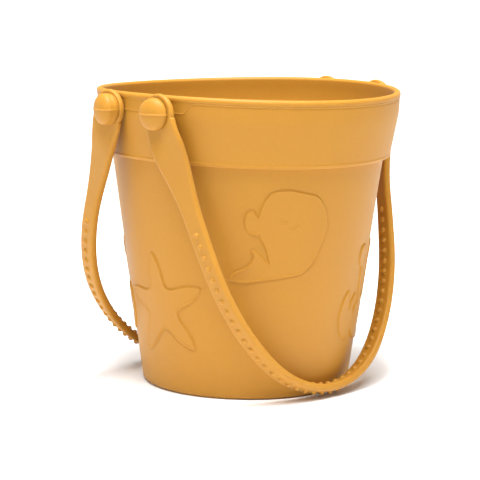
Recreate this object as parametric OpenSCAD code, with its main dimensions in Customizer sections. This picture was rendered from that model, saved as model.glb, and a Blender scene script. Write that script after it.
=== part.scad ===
// Soft silicone sand bucket: a tapered tub with a wide rim collar, two
// pairs of button studs moulded on the collar, and two loop handles that
// button over the studs and swing up to meet above the opening.
// Millimetres, +Z up. The origin is the middle of the underside. The studs
// are on the +X and -X sides. Each handle turns about a line along X.

/* [Tub] */
// Height from the floor to the top of the rim
tub_h = 171.6; // [150:0.2:190]
// Outer radius of the rim
rim_r = 88; // [86:0.5:90]
// Outer radius of the underside
foot_r = 60.2; // [57:0.2:63]
// Outer radius of the wall just below the collar
neck_r = 78.8; // [78:0.1:79]
// Thickness of the wall
wall = 3; // [2.4:0.1:3.2]
// Thickness of the floor
floor_t = 3.4; // [2.6:0.1:5]
// Height of the collar, rim to lower edge
collar_h = 37.7; // [34:0.1:42]
// Radius of the rounded foot edge
foot_round = 3.4; // [2:0.2:5]

/* [Studs] */
// Distance between the two studs of a pair
stud_gap = 40.4; // [38:0.2:44]
// How far the studs sit below the top of the rim
stud_drop = 9; // [8.6:0.1:11]
// Diameter of a stud stem
stem_d = 8; // [6:0.5:9]
// Diameter of a stud head
head_d = 17.5; // [14:0.5:18.5]
// Height of the domed head
head_h = 4.4; // [3:0.2:5]

/* [Handles] */
// Diameter of the round end of the strap
disc_d = 22; // [20:0.5:22.6]
// Thickness of the round end of the strap
disc_t = 3.4; // [3:0.1:3.8]
// Thickness of the strap
strap_t = 4.5; // [4:0.1:4.8]
// Width of the strap along the grip
grip_w = 11.2; // [10:0.1:14]
// How far the front handle leans out when it hangs
front_lean = 16.6; // [16.6:0.1:22]
// How far the back handle leans out when it hangs
back_lean = 18; // [17:0.1:22]
// Radial clearance between a stem and its hole
stem_fit = 0.06; // [0.03:0.01:0.1]

/* [Grip nubs] */
// Diameter of a nub
nub_d = 3.2; // [2.4:0.1:3.6]
// How far a nub stands out of the strap
nub_h = 1.0; // [0.6:0.1:1.3]
// Spacing of the nubs along the strap
nub_pitch = 6.4; // [5.6:0.1:8]
// Nubs on each side of the lowest one
nub_n = 21; // [12:1:21]

/* [Reliefs] */
// How far the raised pictures stand out of the wall
relief_h = 0.6; // [0.3:0.05:1]

/* [Hidden] */
$fn = 96;

tub_col = [0.86, 0.61, 0.22];
strap_col = [0.87, 0.62, 0.23];

collar_z = tub_h - collar_h;
stud_z = tub_h - stud_drop;
stud_y = stud_gap / 2;
disc_r = disc_d / 2;
slope = (neck_r - foot_r) / collar_z;
collar_r0 = rim_r - 5.3;
collar_r1 = rim_r - 0.45;
bead_r = 1.9;
// the flat inner face of the strap ends just clears the round collar
disc_in = sqrt(pow(rim_r, 2) - pow(stud_y - 0.9 * disc_r, 2)) + 0.3;
disc_out = disc_in + disc_t;
stud_az = asin(stud_y / (rim_r + 2));
// the stud shoulders start inside the wall of the collar
base_x = sqrt(pow(rim_r - 0.7, 2) - pow(stud_y + 5.5, 2)) - 0.2;

function wall_r(z) = foot_r + slope * z;
function smooth(x) = x <= 0 ? 0 : x >= 1 ? 1 : x * x * (3 - 2 * x);
function arc(cx, cz, r, a0, a1, n) =
    [for (i = [0 : n]) let (a = a0 + (a1 - a0) * i / n) [cx + r * cos(a), cz + r * sin(a)]];
// closed Catmull-Rom curve through p, n points a span
function loop_curve(p, n) = let (m = len(p)) [
    for (i = [0 : m - 1]) for (j = [0 : n - 1])
        let (t = j / n, a = p[(i + m - 1) % m], b = p[i], c = p[(i + 1) % m], d = p[(i + 2) % m])
            0.5 * ((2 * b) + (c - a) * t + (2 * a - 5 * b + 4 * c - d) * t * t + (3 * b - a - 3 * c + d) * t * t * t)];

// ---- bucket -------------------------------------------------------------

module tub_section()
{
    in0 = foot_r - wall;
    polygon(concat(
        [[0, 0]],
        arc(foot_r + slope * foot_round - foot_round, foot_round, foot_round, -90, -slope * 57.3, 6),
        [[neck_r - 0.02, collar_z - 0.3]],
        arc(collar_r0 - 0.9, collar_z + 0.9, 0.9, -90, 0, 4),
        [[collar_r0 + 2.3, collar_z + 13.5], [rim_r - 0.75, tub_h - 12.6], [collar_r1, tub_h - 5], [collar_r1, tub_h - 4.3]],
        arc(rim_r - bead_r, tub_h - 2.9, bead_r, -40, 0, 3),
        arc(rim_r - bead_r, tub_h - bead_r, bead_r, 0, 180, 12),
        [[rim_r - 2 * bead_r, tub_h - 5], [rim_r - wall - 0.9, tub_h - 12.6]],
        [[collar_r0 - wall, collar_z + wall + 1.6]],
        arc(neck_r - wall + 1.2, collar_z + wall - 2.6, 1.2, 90, 180, 4),
        arc(in0 + slope * floor_t + 4 * slope - 5, floor_t + 5, 5, 0, -90, 6),
        [[0, floor_t]]
    ));
}

module tub_shell() { rotate_extrude($fn = 180) tub_section(); }

// a skin over the tapered wall, relief_h thick, that the pictures are cut from
module relief_skin()
{
    z0 = 8; z1 = collar_z - 6;
    difference() {
        translate([0, 0, z0]) cylinder(h = z1 - z0, r1 = wall_r(z0) + relief_h, r2 = wall_r(z1) + relief_h, $fn = 180);
        translate([0, 0, z0 - 1]) cylinder(h = z1 - z0 + 2, r1 = wall_r(z0 - 1) - 1, r2 = wall_r(z1 + 1) - 1, $fn = 180);
    }
}

// pushes a flat outline out through the wall at turn az from -Y
module through_wall(az)
{
    rotate([0, 0, az]) rotate([90, 0, 0]) linear_extrude(height = 110) children();
}

module star_outline()
{
    translate([0, 51]) polygon(loop_curve([for (i = [0 : 9])
        let (a = 97 + i * 36, r = i % 2 == 0 ? 31 : 9) [r * cos(a), r * sin(a)]], 6));
}

module whale_outline()
{
    translate([0, 96]) {
        polygon(loop_curve([[-9, 24], [0, 25.5], [10, 23.5], [18, 21], [23.5, 13], [25, 3], [22, -6], [18, -15],
            [11, -22], [0, -24], [-11, -25.5], [-21, -27], [-29, -25.5], [-27, -21.5], [-21, -18.5], [-17.5, -13],
            [-18.5, -8.5], [-14, -11], [-9, -16.5], [-11, -8], [-15, 0], [-16, 8], [-14, 17]], 4));
        // flipper
        polygon(loop_curve([[-18.5, -1], [-23, 1], [-25.5, 7], [-24.5, 13], [-21, 14.5], [-19, 8]], 4));
    }
}

module crab_outline()
{
    translate([0, 50]) {
        polygon([for (i = [0 : 35]) [20 * cos(i * 10), 12 * sin(i * 10) - 1]]);
        for (s = [-1, 1]) {
            // raised arm and pincer
            polygon(loop_curve([[s * 15, 5], [s * 20, 14], [s * 20, 24], [s * 15, 33], [s * 8, 32], [s * 13, 27],
                [s * 7, 24], [s * 9, 18], [s * 14, 17], [s * 10, 9]], 4));
            // legs
            for (k = [0 : 2])
                polygon(loop_curve([[s * 16, 4 - k * 5], [s * (27 - k * 2), 7 - k * 7], [s * (31 - k * 3), 1 - k * 7], [s * (26 - k * 2), 2 - k * 7], [s * 14, -1 - k * 5]], 4));
            // eyes on stalks
            translate([s * 4, 14]) circle(r = 2.6, $fn = 24);
        }
    }
}

module reliefs()
{
    intersection() {
        relief_skin();
        union() {
            through_wall(-90.8) star_outline();
            through_wall(91.2) star_outline();
            through_wall(-28.3) whale_outline();
            through_wall(151.7) whale_outline();
            through_wall(34.7) crab_outline();
            through_wall(-147.3) crab_outline();
        }
    }
}

// one button stud: s is the side, -1 or 1, and e the end, -1 or 1
module stud(s, e)
{
    translate([0, e * stud_y, stud_z]) {
        // stem, and a shoulder that keeps the strap off the collar
        rotate([0, s * 90, 0]) translate([0, 0, base_x]) cylinder(h = disc_out + 1.5 - base_x, d = stem_d, $fn = 64);
        rotate([0, s * 90, 0]) translate([0, 0, base_x]) cylinder(h = disc_in - 0.35 - base_x, d = stem_d + 3, $fn = 64);
        // domed head that faces straight out from the round collar
        intersection() {
            translate([s * (disc_out + 2.6), 0, 0]) rotate([0, 0, s * e * stud_az]) rotate([0, s * 90, 0])
                rotate_extrude($fn = 96) polygon(concat([[0, -8], [head_d / 2, -8]],
                    [for (i = [0 : 12]) let (a = i * 7.5) [(head_d / 2) * cos(a), head_h * sin(a)]], [[0, head_h]]));
            translate([s > 0 ? disc_out + 0.35 : -disc_out - 40.35, -20, -20]) cube([40, 40, 40]);
        }
    }
}

module bucket()
{
    color(tub_col) union() {
        tub_shell();
        reliefs();
        for (s = [-1, 1]) for (e = [-1, 1]) stud(s, e);
    }
}

// ---- handles ------------------------------------------------------------

// [distance from the stud, direction] with 0 straight down and 90 across;
// between two rows the strap is one arc
front_bend = [[0, 0], [9, 0], [26, 17], [57.7, 10.1], [89.5, 12.8], [121.3, 26], [153, 41.7], [180.6, 67.3], [203.8, 90]];
back_bend = [[0, 0], [9, 0], [26, 6.8], [57.7, 1.4], [89.4, 17.4], [121.1, 36.4], [152.8, 50.4], [180.3, 60.7], [203.6, 90]];
// twist of the strap: most, where it peaks, where it ends
front_twist = [20.7, 23, 110];
back_twist = [14.9, 26, 110];
// from here on the strap has one width
grip_from = 62;
neck_n = 14;
grip_n = 27;

function twist(s, w) = w[0] * smooth((s - 8) / (w[1] - 8)) * (1 - smooth((s - w[1]) / (w[2] - w[1])));
function strap_w(s) = disc_d + (grip_w - disc_d) * smooth((s - 8) / 54);
function strap_h(s) = disc_t + (strap_t - disc_t) * smooth((s - 9) / 12);

// end of an arc of length d that starts at p = [along, down] in direction f0 and ends in f1
function arc_end(p, d, f0, f1) = abs(f1 - f0) < 0.01
    ? p + d * [sin(f0), cos(f0)]
    : let (r = d / (f1 - f0) * 180 / PI) p + r * [cos(f0) - cos(f1), sin(f1) - sin(f0)];
// [along, down] at each row of the bend table, from the stud
function knots(b) = [for (i = 0, p = [0, 0]; i < len(b);
    p = i + 1 < len(b) ? arc_end(p, b[i + 1][0] - b[i][0], b[i][1], b[i + 1][1]) : p, i = i + 1) p];
function row_of(b, s) = max([for (i = [0 : len(b) - 2]) if (b[i][0] <= s) i]);
// [along, down, direction] at distance s, with the stud on the hinge line and the lowest point in the middle
function at(b, k, s) = let (
    i = row_of(b, s), f = lookup(s, b), x0 = -(disc_in + disc_t / 2), e = x0 + k[len(k) - 1][0],
    p = arc_end(k[i], s - b[i][0], b[i][1], f))
    [x0 + p[0] - e * smooth((s - 9) / (grip_from - 9)), p[1], f];

// section of the strap: [out of the loop, across], rounded corners
function strap_section(t, w) = let (r = min(1.5, t / 2 - 0.15)) [
    for (q = [[1, 1, 0], [-1, 1, 90], [-1, -1, 180], [1, -1, 270]]) for (k = [0 : 2])
        let (a = q[2] + k * 45) [q[0] * (t / 2 - r) + r * cos(a), q[1] * (w / 2 - r) + r * sin(a)]];

// ring of points round the strap at distance s
function ring(b, k, s, w) =
    let (p = at(b, k, s), a = p[2], ps = twist(s, w))
        [for (c = strap_section(strap_h(s), strap_w(s)))
            let (o = c[0] * cos(ps) - c[1] * sin(ps), n = c[0] * sin(ps) + c[1] * cos(ps))
                [p[0] - o * cos(a), n, -(p[1] + o * sin(a))]];

// the strap swept along the whole loop, and its grip nubs
module strap_body(b, k, w)
{
    S = b[len(b) - 1][0];
    st = concat(
        [for (i = [0 : neck_n - 1]) 4.6 + (grip_from - 4.6) * i / neck_n],
        [for (i = [0 : grip_n]) grip_from + (S - grip_from) * i / grip_n]);
    left = [for (s = st) ring(b, k, s, w)];
    rings = concat(left, [for (i = [len(st) - 2 : -1 : 0]) [for (p = left[i]) [-p[0], p[1], p[2]]]]);
    q = len(rings[0]);
    m = len(rings);
    polyhedron(
        points = [for (r = rings) for (p = r) p],
        faces = concat(
            [[for (j = [0 : q - 1]) j]],
            [[for (j = [q - 1 : -1 : 0]) (m - 1) * q + j]],
            [for (i = [0 : m - 2]) for (j = [0 : q - 1]) each [
                [i * q + j, (i + 1) * q + j, (i + 1) * q + (j + 1) % q],
                [i * q + j, (i + 1) * q + (j + 1) % q, i * q + (j + 1) % q]]]),
        convexity = 8);
    for (m = [0, 1]) mirror([m, 0, 0]) for (i = [m : nub_n]) {
        p = at(b, k, S - i * nub_pitch);
        ps = twist(S - i * nub_pitch, w);
        for (side = [-1, 1])
            translate([p[0], 0, -p[1]]) rotate([0, -p[2], 0]) rotate([0, 0, -ps])
                translate([-side * strap_t / 2, 0, 0]) rotate([0, -side * 90, 0]) nub();
    }
}

// low dome whose rim is sunk in the strap
module nub()
{
    rr = (nub_d * nub_d / 4 + nub_h * nub_h) / (2 * nub_h);
    a0 = asin((rr - nub_h) / rr);
    rotate_extrude($fn = 10) polygon(concat([[0, -0.6], [nub_d / 2, -0.6]],
        [for (i = [0 : 2]) let (a = a0 + (90 - a0) * i / 2) [rr * cos(a), rr * sin(a) - (rr - nub_h)]]));
}

// whole handle hanging straight down from a hinge line along X at the origin
module strap_loop(b, w)
{
    difference() {
        union() {
            resize([0, 0, 0]) strap_body(b, knots(b), w);
            for (s = [-1, 1]) rotate([0, s * 90, 0]) translate([0, 0, disc_in]) disc();
        }
        for (s = [-1, 1]) rotate([0, s * 90, 0]) translate([0, 0, disc_in - 3])
            cylinder(h = disc_t + 6, d = stem_d + 2 * stem_fit, $fn = 64);
    }
}

module disc()
{
    r = 1.2;
    rotate_extrude($fn = 96) polygon(concat([[0, 0]],
        arc(disc_r - r, r, r, -90, 0, 5), arc(disc_r - r, disc_t - r, r, 0, 90, 5), [[0, disc_t]]));
}

module handle_front()
{
    color(strap_col) translate([0, -stud_y, stud_z]) rotate([-front_lean, 0, 0]) rotate([0, 0, 180]) strap_loop(front_bend, front_twist);
}

module handle_back()
{
    color(strap_col) translate([0, stud_y, stud_z]) rotate([back_lean, 0, 0]) strap_loop(back_bend, back_twist);
}

bucket();
handle_front();
handle_back();
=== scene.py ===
import bpy, math
import numpy as np
from mathutils import Matrix, Vector


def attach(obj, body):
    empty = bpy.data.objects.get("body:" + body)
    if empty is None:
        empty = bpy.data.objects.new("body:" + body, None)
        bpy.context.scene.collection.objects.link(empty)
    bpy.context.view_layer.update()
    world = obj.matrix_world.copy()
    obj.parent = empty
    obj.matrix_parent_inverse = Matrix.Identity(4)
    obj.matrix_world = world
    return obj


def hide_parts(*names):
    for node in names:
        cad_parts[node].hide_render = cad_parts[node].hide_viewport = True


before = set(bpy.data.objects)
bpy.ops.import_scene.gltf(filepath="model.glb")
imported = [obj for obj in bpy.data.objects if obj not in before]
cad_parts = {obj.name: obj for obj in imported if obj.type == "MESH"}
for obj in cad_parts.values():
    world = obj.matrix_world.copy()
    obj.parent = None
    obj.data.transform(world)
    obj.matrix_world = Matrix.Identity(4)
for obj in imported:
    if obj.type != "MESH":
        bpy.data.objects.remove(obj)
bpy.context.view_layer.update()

# ---------------------------------------------------------------- dimensions, mm
TUB_H, RIM_R, FOOT_R, NECK_R, WALL, FLOOR_T = 171.6, 88.0, 60.2, 78.8, 3.0, 3.4
COLLAR_Z = 133.9
SLOPE = (NECK_R - FOOT_R) / COLLAR_Z
C0, C1, BEAD = RIM_R - 5.3, RIM_R - 0.45, 1.9
STUD_Y, STUD_Z = 20.2, TUB_H - 9.0
STEM_R, HEAD_R, HEAD_H = 4.0, 8.75, 4.4
DISC_R, DISC_T, STRAP_T, GRIP_W = 11.0, 3.4, 4.5, 11.2
DISC_IN = math.sqrt(RIM_R ** 2 - (STUD_Y - 0.9 * DISC_R) ** 2) + 0.3
DISC_OUT = DISC_IN + DISC_T
STUD_AZ = math.asin(STUD_Y / (RIM_R + 2))
BASE_X = math.sqrt((RIM_R - 0.7) ** 2 - (STUD_Y + 5.5) ** 2) - 0.2
NUB_D, NUB_H, NUB_P, NUB_N = 3.3, 1.4, 6.4, 21
RELIEF = 0.6
WAVE = 1.035


def smooth(x):
    x = np.clip(x, 0, 1)
    return x * x * (3 - 2 * x)


def mesh_object(name, verts, faces, slot, body, node=None, shade=True):
    me = bpy.data.meshes.new(name)
    me.from_pydata([tuple(v) for v in (np.asarray(verts) * 0.001).tolist()], [], faces)
    me.validate()
    if shade:
        me.polygons.foreach_set("use_smooth", [True] * len(me.polygons))
    me.update()
    ob = bpy.data.objects.new(name, me)
    bpy.context.scene.collection.objects.link(ob)
    return ob


def grid_faces(nr, nc, wrap=True, start=0):
    i = np.arange(nr - 1)[:, None]
    j = np.arange(nc if wrap else nc - 1)[None, :]
    j2 = (j + 1) % nc
    a, b, c, d = i * nc + j, i * nc + j2, (i + 1) * nc + j2, (i + 1) * nc + j
    return (np.stack([a, b, c, d], -1).reshape(-1, 4) + start).tolist()


# ---------------------------------------------------------------- outlines of the raised pictures
def loop_curve(p, n):
    p = np.array(p, float)
    m = len(p)
    out = []
    for i in range(m):
        a, b, c, d = p[i - 1], p[i], p[(i + 1) % m], p[(i + 2) % m]
        for j in range(n):
            t = j / n
            out.append(0.5 * ((2 * b) + (c - a) * t + (2 * a - 5 * b + 4 * c - d) * t * t + (3 * b - a - 3 * c + d) * t ** 3))
    return np.array(out)


def ellipse(cx, cz, rx, rz, n=48):
    a = np.linspace(0, 2 * math.pi, n, endpoint=False)
    return np.stack([cx + rx * np.cos(a), cz + rz * np.sin(a)], -1)


def star():
    pts = []
    for i in range(5):
        a = 97 + i * 72
        for da, r in ((-36, 12.5), (-10, 23.5), (0, 31), (10, 23.5)):
            t = math.radians(a + da)
            pts.append((r * math.cos(t), r * math.sin(t) + 51))
    return [loop_curve(pts, 5)]


def whale():
    q = [[-9, 24], [0, 25.5], [10, 23.5], [18, 21], [23.5, 13], [25, 3], [22, -6], [18, -15], [11, -22], [0, -24], [-11, -25.5],
         [-21, -27], [-29, -25.5], [-27, -21.5], [-21, -18.5], [-17.5, -13], [-18.5, -8.5], [-14, -11], [-9, -16.5], [-11, -8],
         [-15, 0], [-16, 8], [-14, 17]]
    fin = [[-14, 1], [-20, 1.5], [-23, 6], [-22.5, 12], [-19, 14], [-16, 10], [-12, 9]]
    return [loop_curve([(x, z + 96) for x, z in q], 8), loop_curve([(x, z + 96) for x, z in fin], 8)]


def crab():
    out = [ellipse(0, 40, 17, 13)]
    for k in (-1, 1):
        claw = [(15, 40), (17, 49), (15.5, 56.5), (20, 52), (21.5, 47), (22.5, 53), (24.5, 59), (29, 53), (30.5, 44), (28, 35), (22, 30.5), (17, 33)]
        out.append(loop_curve([(k * x, z) for x, z in claw], 6))
        out.append(ellipse(k * 12.5, 78, 5.5, 6.5))
        out.append(loop_curve([(k * x, z) for x, z in [(5, 48), (9, 48), (11.5, 60), (13.5, 73), (10.5, 73), (8, 60)]], 6))
    return out


def signed(P, poly):
    """Distance of points P to a closed polygon, negative inside."""
    a = poly
    b = np.roll(poly, -1, 0)
    best = np.full(len(P), 1e9)
    inside = np.zeros(len(P), bool)
    for (ax, az), (bx, bz) in zip(a, b):
        dx, dz = bx - ax, bz - az
        L = dx * dx + dz * dz
        if L < 1e-9:
            continue
        t = np.clip(((P[:, 0] - ax) * dx + (P[:, 1] - az) * dz) / L, 0, 1)
        d = np.hypot(P[:, 0] - ax - t * dx, P[:, 1] - az - t * dz)
        best = np.minimum(best, d)
        cond = (az > P[:, 1]) != (bz > P[:, 1])
        with np.errstate(divide="ignore", invalid="ignore"):
            xi = ax + (P[:, 1] - az) * dx / (dz if dz else 1e-12)
        inside ^= cond & (P[:, 0] < xi)
    return np.where(inside, -best, best)


def stroke(p):
    return p + p[::-1]


MARKS = [stroke([(-3.4, 104.2), (-2.6, 102.9), (-1.2, 102.6), (0, 103.4)]), stroke([(1.2, 99.6), (3.2, 98.6), (5.4, 99.2), (6.8, 101)])]
PICTURES = [(-90.8, star()), (-28.3, whale()), (34.7, crab())]
PICTURES += [(91.2, star()), (151.7, whale()), (-147.3, crab())]


def relief_height(theta, r, z):
    """theta turns from -Y towards +X."""
    h = np.zeros_like(theta)
    for az, polys in PICTURES:
        d = (theta - math.radians(az) + math.pi) % (2 * math.pi) - math.pi
        x = r * np.sin(d)
        sel = np.where((np.abs(d) < 1.0) & (np.abs(x) < 36))[0]
        if not len(sel):
            continue
        P = np.stack([x[sel], z[sel]], -1)
        s = np.full(len(sel), 1e9)
        for poly in polys:
            s = np.minimum(s, signed(P, poly))
        # a raised plateau with a rounded lip on its edge and a faint trough round it
        up = RELIEF * smooth((0.35 - s) / 0.7) - 0.24 * np.exp(-((s - 0.8) / 0.42) ** 2) + 0.24 * np.exp(-((s + 0.6) / 0.42) ** 2)
        if len(polys) == 2:
            for q in MARKS:
                d = np.abs(signed(P, np.array(q)))
                up = up + 0.4 * np.exp(-(d / 0.42) ** 2)
        h[sel] = np.where(np.abs(up) > np.abs(h[sel]), up, h[sel])
    return h


# ---------------------------------------------------------------- tub
def arc(cx, cz, r, a0, a1, n):
    a = np.radians(np.linspace(a0, a1, n + 1))
    return [(cx + r * math.cos(t), cz + r * math.sin(t)) for t in a]


def fill(p, q, step):
    n = max(1, int(math.hypot(q[0] - p[0], q[1] - p[1]) / step))
    return [(p[0] + (q[0] - p[0]) * k / n, p[1] + (q[1] - p[1]) * k / n) for k in range(1, n)]


def tub():
    NT = 1400
    deg = 57.3 * SLOPE
    pr = [(6, 0), (30, 0), (50, 0), (54, 0)]
    pr += arc(FOOT_R + SLOPE * 3.4 - 3.4, 3.4, 3.4, -90, -deg, 8)
    a = pr[-1]
    b = (NECK_R - 0.02, COLLAR_Z - 0.3)
    k0 = len(pr)
    pr += fill(a, b, 0.38) + [b]
    k1 = len(pr)
    pr += [(NECK_R + 0.8, COLLAR_Z)]
    pr += arc(C0 - 0.9, COLLAR_Z + 0.9, 0.9, -90, 0, 5)
    k2 = len(pr)
    kz = [COLLAR_Z + 0.9, COLLAR_Z + 13.5, TUB_H - 12.6, TUB_H - 5, TUB_H]
    kr = [C0, C0 + 2.3, RIM_R - 0.75, C1, C1]
    zz = np.concatenate([np.arange(COLLAR_Z + 1.1, COLLAR_Z + 4.0, 0.2), np.linspace(COLLAR_Z + 4.4, 160.0, 22), np.arange(160.2, TUB_H - 3.5, 0.2)])
    off = np.linspace(-3, 3, 13)
    rr = np.mean([np.interp(np.maximum(zz + o * np.minimum(1, (zz - COLLAR_Z - 0.9) / 3), kz[0]), kz, kr) for o in off], 0)
    pr += list(zip(rr.tolist(), zz.tolist()))
    k3 = len(pr)
    pr += arc(RIM_R - BEAD, TUB_H - 2.3, BEAD, -38, 0, 4)
    pr += arc(RIM_R - BEAD, TUB_H - BEAD, BEAD, 10, 180, 14)
    inner = [(RIM_R - WALL - 0.9, TUB_H - 12.6), (C0 - WALL, COLLAR_Z + WALL + 1.6)]
    pr += [(RIM_R - 2 * BEAD, TUB_H - 5), inner[0]] + fill(inner[0], inner[1], 2.0) + [inner[1]]
    pr += arc(NECK_R - WALL + 1.2, COLLAR_Z + WALL - 2.6, 1.2, 90, 180, 5)
    in0 = FOOT_R - WALL
    end = arc(in0 + SLOPE * FLOOR_T + 4 * SLOPE - 5, FLOOR_T + 5, 5, 0, -90, 8)
    pr += fill(pr[-1], end[0], 3.0) + end + [(40, FLOOR_T), (20, FLOOR_T), (6, FLOOR_T)]
    pr = np.array(pr)
    n = len(pr)
    th = np.linspace(0, 2 * math.pi, NT, endpoint=False)   # from -Y towards +X
    R = np.repeat(pr[:, 0][:, None], NT, 1)
    Z = np.repeat(pr[:, 1][:, None], NT, 1)
    T = np.repeat(th[None], n, 0)
    # raised pictures on the wall
    rows = slice(k0, k1)
    h = relief_height(T[rows].ravel(), R[rows].ravel(), Z[rows].ravel()).reshape(R[rows].shape)
    fade = smooth((Z[rows] - 8) / 2) * (1 - smooth((Z[rows] - (COLLAR_Z - 6)) / 2))
    R[rows] += h * fade
    # parting line of the mould: under the rim bead, stepping down to the stud pairs
    fx = np.abs((np.degrees(T) + 90) % 180 - 0)            # angle from the +-X axis
    fx = np.minimum(fx, 180 - fx)
    zp = (TUB_H - 3.7) - 5.8 * (1 - smooth((fx - 20.6) / 4.0))
    band = slice(k2, k3)
    R[band] += 0.34 * np.exp(-((Z[band] - zp[band]) / 0.28) ** 2) - 0.16 * np.exp(-((Z[band] - zp[band] + 0.75) / 0.4) ** 2)
    R[band] += 0.32 * np.exp(-((Z[band] - COLLAR_Z - 1.5) / 0.55) ** 2)
    # the soft rim is drawn up a little at the studs
    lift = WAVE * np.cos(2 * np.radians(fx)) * smooth((Z - 108) / 26)
    Z = Z + lift
    X = R * np.sin(T)
    Y = -R * np.cos(T)
    V = np.stack([X, Y, Z], -1).reshape(-1, 3)
    F = grid_faces(n, NT)
    V = np.concatenate([V, [[0, 0, 0], [0, 0, FLOOR_T]]])
    c0, c1 = n * NT, n * NT + 1
    F += [[c0, (j + 1) % NT, j] for j in range(NT)]
    last = (n - 1) * NT
    F += [[c1, last + j, last + (j + 1) % NT] for j in range(NT)]
    return V, F


def lathe(profile, nseg, closed=False):
    """Ring mesh about +X from (along, radius) pairs."""
    p = np.array(profile)
    a = np.linspace(0, 2 * math.pi, nseg, endpoint=False)
    V = np.stack([np.repeat(p[:, 0][:, None], nseg, 1), p[:, 1][:, None] * np.cos(a), p[:, 1][:, None] * np.sin(a)], -1)
    F = grid_faces(len(p), nseg)
    if closed:
        m = len(p)
        j = np.arange(nseg)
        F += np.stack([(m - 1) * nseg + j, (m - 1) * nseg + (j + 1) % nseg, (j + 1) % nseg, j], -1).tolist()
    return V.reshape(-1, 3), F


def stud(s, e):
    """Stem, shoulder and domed head of one button stud."""
    V, F = [], []

    def add(v, f):
        k = sum(len(x) for x in V)
        V.append(v)
        F.extend([[i + k for i in q] for q in f])

    # shoulder and stem, lathed about the hinge line
    base = [(BASE_X, 0.01), (BASE_X, 5.5), (DISC_IN - 0.65, 5.5), (DISC_IN - 0.42, 5.4), (DISC_IN - 0.35, 5.2), (DISC_IN - 0.35, STEM_R),
            (DISC_OUT + 0.9, STEM_R), (DISC_OUT + 0.9, 0.01)]
    v, f = lathe(base, 48)
    add(v, f)
    # head: dome about an axis that faces straight out from the collar
    v, f = [], []
    n, m = 150, 240
    prof = [(-8.0, HEAD_R - 0.02)]
    prof += [(-2.4 + 2.0 * t, HEAD_R) for t in np.linspace(0, 1, 3)]
    prof += [(HEAD_H * math.sin(t), HEAD_R * math.cos(t) ** 0.94) for t in np.linspace(0.06, math.pi / 2 * 0.9965, n)]
    p = np.array(prof)
    a = np.linspace(0, 2 * math.pi, m, endpoint=False)
    A = np.repeat(p[:, 0][:, None], m, 1)
    Rr = np.repeat(p[:, 1][:, None], m, 1)
    Yl = Rr * np.cos(a)
    Zl = Rr * np.sin(a)
    ridge = 0.34 * np.exp(-(Zl / 0.3) ** 2)
    nx = A / HEAD_H ** 2
    ny = Yl / HEAD_R ** 2
    nz = Zl / HEAD_R ** 2
    nl = np.sqrt(nx ** 2 + ny ** 2 + nz ** 2) + 1e-9
    A = A + ridge * nx / nl
    Yl = Yl + ridge * ny / nl
    ca, sa = math.cos(s * e * STUD_AZ), math.sin(s * e * STUD_AZ)
    Xg = s * (DISC_OUT + 2.6) + (s * A) * ca - Yl * sa
    Yg = (s * A) * sa + Yl * ca
    # underside is cut square to the hinge line
    lim = DISC_OUT + 0.35
    Xg = s * np.maximum(s * Xg, lim)
    v = np.stack([s * Xg, Yg, Zl], -1).reshape(-1, 3)
    f = grid_faces(len(p), m)
    v = np.concatenate([v, [[lim, 0, 0]], [[s * (s * (DISC_OUT + 2.6) + s * (HEAD_H + 0.0) * ca), s * HEAD_H * sa, 0]]])
    c0, c1 = len(p) * m, len(p) * m + 1
    f += [[c0, (j + 1) % m, j] for j in range(m)]
    f += [[c1, (len(p) - 1) * m + j, (len(p) - 1) * m + (j + 1) % m] for j in range(m)]
    add(v, f)
    V = np.concatenate(V)
    V[:, 0] *= s
    if s < 0:
        F = [q[::-1] for q in F]
    V[:, 1] += e * STUD_Y
    V[:, 2] += STUD_Z
    return V, F


# ---------------------------------------------------------------- straps
FRONT = [[0, 0], [9, 0], [26, 17], [57.7, 10.1], [89.5, 12.8], [121.3, 26], [153, 41.7], [180.6, 67.3], [203.8, 90]]
BACK = [[0, 0], [9, 0], [26, 6.8], [57.7, 1.4], [89.4, 17.4], [121.1, 36.4], [152.8, 50.4], [180.3, 60.7], [203.6, 90]]
GRIP_FROM = 62.0


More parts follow.
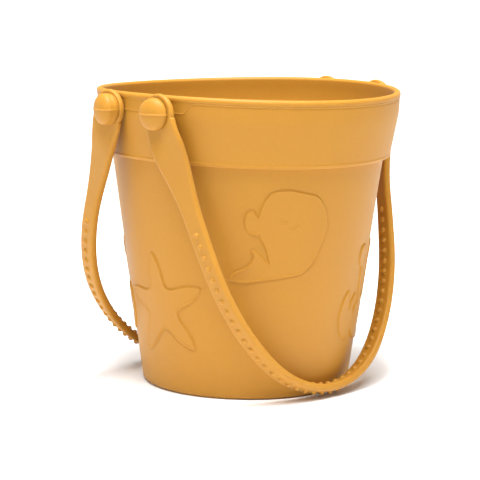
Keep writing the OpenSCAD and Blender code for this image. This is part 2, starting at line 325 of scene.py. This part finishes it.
class Loop:
    def __init__(self, bend, tw, sway=0.0):
        self.sway = sway
        self.b = np.array(bend, float)
        self.S = self.b[-1, 0]
        self.w = tw
        self.x0 = -(DISC_IN + DISC_T / 2)
        n = 8000
        s = np.linspace(0, self.S, n)
        f = np.radians(np.interp(s, self.b[:, 0], self.b[:, 1]))
        ds = np.diff(s)
        fm = (f[1:] + f[:-1]) / 2
        self.s = s
        self.u = np.concatenate([[0], np.cumsum(np.sin(fm) * ds)])
        self.v = np.concatenate([[0], np.cumsum(np.cos(fm) * ds)])
        self.e = self.x0 + self.u[-1]

    def at(self, s):
        s = np.asarray(s, float)
        u = self.x0 + np.interp(s, self.s, self.u) - self.e * smooth((s - 9) / (GRIP_FROM - 9))
        return u, np.interp(s, self.s, self.v), np.radians(np.interp(s, self.b[:, 0], self.b[:, 1]))

    def twist(self, s):
        w = self.w
        return np.radians(w[0] * smooth((s - 7) / (w[1] - 7)) * (1 - smooth((s - w[1]) / (w[2] - w[1]))))

    def sweep(self, st, nc=11):
        """Rounded strap from the left stud round to the right one."""
        u, v, f = self.at(st)
        ps = self.twist(st)
        W = 2 * DISC_R + (GRIP_W - 2 * DISC_R) * (0.75 * smooth((st - 8) / 54) + 0.25 * np.sin(0.5 * math.pi * np.clip((st - 8) / 54, 0, 1)))
        H = DISC_T + (STRAP_T - DISC_T) * smooth((st - 9) / 12)
        r = np.minimum(1.75, H / 2 - 0.15)
        sec = []
        for sx, sy, a0 in ((1, 1, 0), (-1, 1, 90), (-1, -1, 180), (1, -1, 270)):
            for k in range(nc):
                a = math.radians(a0 + 90 * k / (nc - 1))
                sec.append((sx, sy, math.cos(a), math.sin(a)))
        sec = np.array(sec)
        o = sec[None, :, 0] * (H / 2 - r)[:, None] + r[:, None] * sec[None, :, 2]
        c = sec[None, :, 1] * (W / 2 - r)[:, None] + r[:, None] * sec[None, :, 3]
        # the section turns with the twist and is pushed sideways by the sway near the ends
        oo = o * np.cos(ps)[:, None] - c * np.sin(ps)[:, None]
        nn = o * np.sin(ps)[:, None] + c * np.cos(ps)[:, None]
        nn = nn + (self.sway * smooth((st - 4) / 16) * (1 - smooth((st - 20) / 34)))[:, None]
        P = np.stack([u[:, None] - oo * np.cos(f)[:, None], nn, -(v[:, None] + oo * np.sin(f)[:, None])], -1)
        M = P[:-1][::-1].copy()
        M[..., 0] *= -1
        rings = np.concatenate([P, M])
        m, q = rings.shape[:2]
        F = grid_faces(m, q)
        F = [fq[::-1] for fq in F]
        F.append(list(range(q)))
        F.append([(m - 1) * q + j for j in range(q)][::-1])
        return rings.reshape(-1, 3), F

    def nubs(self):
        V, F = [], []
        k = 0
        rr = (NUB_D ** 2 / 4 + NUB_H ** 2) / (2 * NUB_H)
        a0 = math.asin((rr - NUB_H) / rr)
        prof = [(-1.2, 0.02), (-1.2, NUB_D / 2)] + [(rr * math.sin(a) - (rr - NUB_H), rr * math.cos(a)) for a in np.linspace(a0, math.pi / 2 - 0.02, 9)]
        nv, nf = lathe(prof, 24)
        nf = nf + [list(range(24))[::-1], [(len(prof) - 1) * 24 + j for j in range(24)]]
        for m in (1, -1):
            for i in range(0 if m > 0 else 1, NUB_N + 1):
                u, v, f = self.at(self.S - i * NUB_P)
                ps = float(self.twist(self.S - i * NUB_P))
                tan = np.array([math.sin(f), 0, -math.cos(f)])
                out = np.array([-math.cos(f) * math.cos(ps), math.sin(ps), -math.sin(f) * math.cos(ps)])
                for side in (1, -1):
                    ax = out * side
                    c = np.array([u, 0, -v]) + ax * STRAP_T / 2
                    B = np.stack([ax, tan, np.cross(ax, tan)])
                    P = c + nv @ B
                    P = P * np.array([m, 1, 1])
                    flip = m < 0
                    V.append(P)
                    F += [[j + k for j in (q[::-1] if flip else q)] for q in nf]
                    k += len(P)
        return np.concatenate(V), F

    def build(self, name, sgn, lean, node):
        st = np.concatenate([np.linspace(4.6, GRIP_FROM, 60)[:-1], np.linspace(GRIP_FROM, self.S, 110)])
        parts = [self.sweep(st), self.nubs()]
        r = 1.25
        for s in (-1, 1):
            prof = [(0, 4.06), (0, DISC_R - r)] + [(r - r * math.cos(t), DISC_R - r + r * math.sin(t)) for t in np.linspace(0.2, math.pi / 2, 6)]
            prof += [(DISC_T - r + r * math.sin(t), DISC_R - r + r * math.cos(t)) for t in np.linspace(0, math.pi / 2, 7)] + [(DISC_T, 4.06)]
            v, f = lathe(prof, 96, closed=True)
            v[:, 0] = s * (v[:, 0] + DISC_IN)
            parts.append((v, f if s > 0 else [q[::-1] for q in f]))
        V, F, k = [], [], 0
        for v, f in parts:
            V.append(v)
            F += [[i + k for i in q] for q in f]
            k += len(v)
        V = np.concatenate(V)
        # hang: lean out, then onto the hinge line
        a = math.radians(lean)
        y, z = V[:, 1] * math.cos(a) - V[:, 2] * math.sin(a), V[:, 1] * math.sin(a) + V[:, 2] * math.cos(a)
        V = np.stack([V[:, 0], y, z], -1)
        if sgn < 0:
            V[:, 0] *= -1
            V[:, 1] *= -1
        V[:, 1] += sgn * STUD_Y
        V[:, 2] += STUD_Z
        ob = mesh_object(name, V, F, None, None)
        bm_fix(ob)
        # melt the strap, its round ends and the nubs into one skin
        md = ob.modifiers.new("melt", "REMESH")
        md.mode = "VOXEL"
        md.voxel_size = 0.0003
        md.use_smooth_shade = True
        sm = ob.modifiers.new("soften", "SMOOTH")
        sm.factor = 0.5
        sm.iterations = 2
        dg = bpy.context.evaluated_depsgraph_get()
        me = bpy.data.meshes.new_from_object(ob.evaluated_get(dg), depsgraph=dg)
        ob.modifiers.clear()
        old = ob.data
        ob.data = me
        bpy.data.meshes.remove(old)
        me.polygons.foreach_set("use_smooth", [True] * len(me.polygons))
        me.update()
        return ob


def bm_fix(ob):
    import bmesh
    bm = bmesh.new()
    bm.from_mesh(ob.data)
    bmesh.ops.remove_doubles(bm, verts=bm.verts, dist=1e-7)
    bmesh.ops.recalc_face_normals(bm, faces=bm.faces)
    bm.to_mesh(ob.data)
    bm.free()


# ---------------------------------------------------------------- material
def silicone(name, base, warm, seed):
    m = bpy.data.materials.new(name)
    m.use_nodes = True
    nt = m.node_tree
    nt.nodes.clear()
    N = nt.nodes.new
    out = N("ShaderNodeOutputMaterial")
    b = N("ShaderNodeBsdfPrincipled")
    nt.links.new(b.outputs[0], out.inputs[0])
    tc = N("ShaderNodeTexCoord")
    mp = N("ShaderNodeMapping")
    mp.inputs["Location"].default_value = (seed, seed * 0.7, seed * 1.3)
    nt.links.new(tc.outputs["Object"], mp.inputs[0])
    # broad, faint change of tone, as silicone has where it is thicker
    n1 = N("ShaderNodeTexNoise")
    n1.inputs["Scale"].default_value = 14
    n1.inputs["Detail"].default_value = 3
    nt.links.new(mp.outputs[0], n1.inputs["Vector"])
    r1 = N("ShaderNodeValToRGB")
    r1.color_ramp.elements[0].position = 0.3
    r1.color_ramp.elements[1].position = 0.72
    r1.color_ramp.elements[0].color = (*warm, 1)
    r1.color_ramp.elements[1].color = (*base, 1)
    nt.links.new(n1.outputs[0], r1.inputs[0])
    # specks of dust
    n2 = N("ShaderNodeTexNoise")
    n2.inputs["Scale"].default_value = 420
    n2.inputs["Detail"].default_value = 2
    nt.links.new(mp.outputs[0], n2.inputs["Vector"])
    r2 = N("ShaderNodeMapRange")
    r2.inputs["From Min"].default_value = 0.3
    r2.inputs["From Max"].default_value = 0.7
    r2.inputs["To Min"].default_value = 0.985
    r2.inputs["To Max"].default_value = 1.015
    nt.links.new(n2.outputs[0], r2.inputs[0])
    mx = N("ShaderNodeMix")
    mx.data_type = "RGBA"
    mx.blend_type = "MULTIPLY"
    mx.inputs[0].default_value = 1.0
    nt.links.new(r1.outputs[0], mx.inputs[6])
    nt.links.new(r2.outputs[0], mx.inputs[7])
    nt.links.new(mx.outputs[2], b.inputs["Base Color"])
    # roughness varies a little
    r3 = N("ShaderNodeMapRange")
    r3.inputs["From Min"].default_value = 0.3
    r3.inputs["From Max"].default_value = 0.7
    r3.inputs["To Min"].default_value = 0.50
    r3.inputs["To Max"].default_value = 0.58
    nt.links.new(n1.outputs[0], r3.inputs[0])
    nt.links.new(r3.outputs[0], b.inputs["Roughness"])
    bp = N("ShaderNodeBump")
    bp.inputs["Strength"].default_value = 0.10
    bp.inputs["Distance"].default_value = 0.00025
    n3 = N("ShaderNodeTexNoise")
    n3.inputs["Scale"].default_value = 900
    n3.inputs["Detail"].default_value = 3
    nt.links.new(mp.outputs[0], n3.inputs["Vector"])
    nt.links.new(n3.outputs[0], bp.inputs["Height"])
    nt.links.new(bp.outputs[0], b.inputs["Normal"])
    b.inputs["Subsurface Weight"].default_value = 0.18
    b.inputs["Subsurface Radius"].default_value = (1.0, 0.45, 0.12)
    b.inputs["Subsurface Scale"].default_value = 0.003
    b.inputs["Specular IOR Level"].default_value = 0.30
    b.inputs["Sheen Weight"].default_value = 0.04
    b.inputs["Sheen Roughness"].default_value = 0.5
    return m


def floor_material():
    m = bpy.data.materials.new("pale_floor")
    m.use_nodes = True
    nt = m.node_tree
    b = nt.nodes["Principled BSDF"]
    n = nt.nodes.new("ShaderNodeTexNoise")
    n.inputs["Scale"].default_value = 6
    tc = nt.nodes.new("ShaderNodeTexCoord")
    nt.links.new(tc.outputs["Object"], n.inputs["Vector"])
    r = nt.nodes.new("ShaderNodeValToRGB")
    r.color_ramp.elements[0].color = (0.90, 0.90, 0.90, 1)
    r.color_ramp.elements[1].color = (0.93, 0.93, 0.93, 1)
    nt.links.new(n.outputs[0], r.inputs[0])
    nt.links.new(r.outputs[0], b.inputs["Base Color"])
    b.inputs["Roughness"].default_value = 0.85
    return m


TUB_MAT = silicone("silicone_tub", (0.445, 0.202, 0.016), (0.428, 0.190, 0.014), 0.0)
STRAP_MAT = silicone("silicone_strap", (0.440, 0.203, 0.018), (0.422, 0.191, 0.016), 3.1)

# ---------------------------------------------------------------- build
V, F = tub()
k = len(V)
allv, allf = [V], list(F)
for s in (-1, 1):
    for e in (-1, 1):
        v, f = stud(s, e)
        allv.append(v)
        allf += [[i + k for i in q] for q in f]
        k += len(v)
bucket = mesh_object("bucket_skin", np.concatenate(allv), allf, None, None)
bm_fix(bucket)
bucket.data.materials.append(TUB_MAT)
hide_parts("bucket")
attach(bucket, "tub")

front = Loop(FRONT, (20.0, 28, 110), 0.9).build("front_strap_skin", -1, 16.6, "handle_front")
back = Loop(BACK, (8.5, 28, 110), -0.8).build("back_strap_skin", 1, 18.0, "handle_back")
for ob, node, body in ((front, "handle_front", "front_handle"), (back, "handle_back", "back_handle")):
    ob.data.materials.clear()
    ob.data.materials.append(STRAP_MAT)
    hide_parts(node)
    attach(ob, body)

# ---------------------------------------------------------------- stage
me = bpy.data.meshes.new("floor")
me.from_pydata([(-60, -60, 0), (60, -60, 0), (60, 60, 0), (-60, 60, 0)], [], [(0, 1, 2, 3)])
floor = bpy.data.objects.new("floor", me)
bpy.context.scene.collection.objects.link(floor)
floor.data.materials.append(floor_material())

# camera fitted to the rim, collar, wall and foot outlines
F_PX, C_Y, C_Z, YAW, PITCH, ROLL = 1944.72, -1.12839, 0.257757, 0.003543, -0.1545397, -0.0119339
TURN = math.radians(45.3)
EX, EY = np.array([math.cos(TURN), math.sin(TURN), 0.0]), np.array([-math.sin(TURN), math.cos(TURN), 0.0])
cy, sy, cp, sp, cr, sr = math.cos(YAW), math.sin(YAW), math.cos(PITCH), math.sin(PITCH), math.cos(ROLL), math.sin(ROLL)
RM = np.array([[cy, -sy, 0], [sy, cy, 0], [0, 0, 1]]) @ np.array([[1, 0, 0], [0, cp, -sp], [0, sp, cp]]) @ np.array([[cr, 0, sr], [0, 1, 0], [-sr, 0, cr]])
TOROW = np.stack([EX, EY, np.array([0, 0, 1.0])])          # rows: row axes in the fitted frame
cam = bpy.data.cameras.new("camera")
cam.sensor_width = 36
cam.sensor_fit = "HORIZONTAL"
cam.lens = F_PX / 480 * 36
cam.clip_start, cam.clip_end = 0.05, 50
co = bpy.data.objects.new("camera", cam)
bpy.context.scene.collection.objects.link(co)
right, fwd, up = (TOROW @ RM[:, 0]), (TOROW @ RM[:, 1]), (TOROW @ RM[:, 2])
loc = TOROW @ np.array([0, C_Y, C_Z])
co.matrix_world = Matrix(((right[0], up[0], -fwd[0], loc[0]), (right[1], up[1], -fwd[1], loc[1]), (right[2], up[2], -fwd[2], loc[2]), (0, 0, 0, 1)))
bpy.context.scene.camera = co


def to_row(x, y, z):
    """Point given as right of, beyond and above the object, seen from the camera."""
    return Vector((TOROW @ np.array([x, y, z])).tolist())


def area(name, at, look, size, power, colour=(1, 1, 1), size_y=None):
    l = bpy.data.lights.new(name, "AREA")
    l.energy = power
    l.color = colour
    l.size = size
    if size_y:
        l.shape = "RECTANGLE"
        l.size_y = size_y
    o = bpy.data.objects.new(name, l)
    bpy.context.scene.collection.objects.link(o)
    o.location = to_row(*at)
    o.rotation_euler = (to_row(*look) - o.location).to_track_quat("-Z", "Y").to_euler()
    return o


def sun(name, at, strength, soft):
    l = bpy.data.lights.new(name, "SUN")
    l.energy = strength
    l.angle = math.radians(soft)
    o = bpy.data.objects.new(name, l)
    bpy.context.scene.collection.objects.link(o)
    o.location = to_row(*at)
    o.rotation_euler = (to_row(0, 0, 0) - o.location).to_track_quat("-Z", "Y").to_euler()
    return o


sun("key", (0.02, -0.52, 1.7), 4.0, 50)
sun("side", (-0.9, -0.7, 1.1), 0.35, 40)
area("mouth", (-0.02, -0.20, 1.1), (0, 0.03, 0.1), 0.3, 13)
world = bpy.data.worlds.new("studio")
bpy.context.scene.world = world
world.use_nodes = True
bg = world.node_tree.nodes["Background"]
bg.inputs[0].default_value = (1, 1, 1, 1)
bg.inputs[1].default_value = 0.40
bpy.context.scene.view_settings.view_transform = "Standard"

bpy.context.view_layer.update()
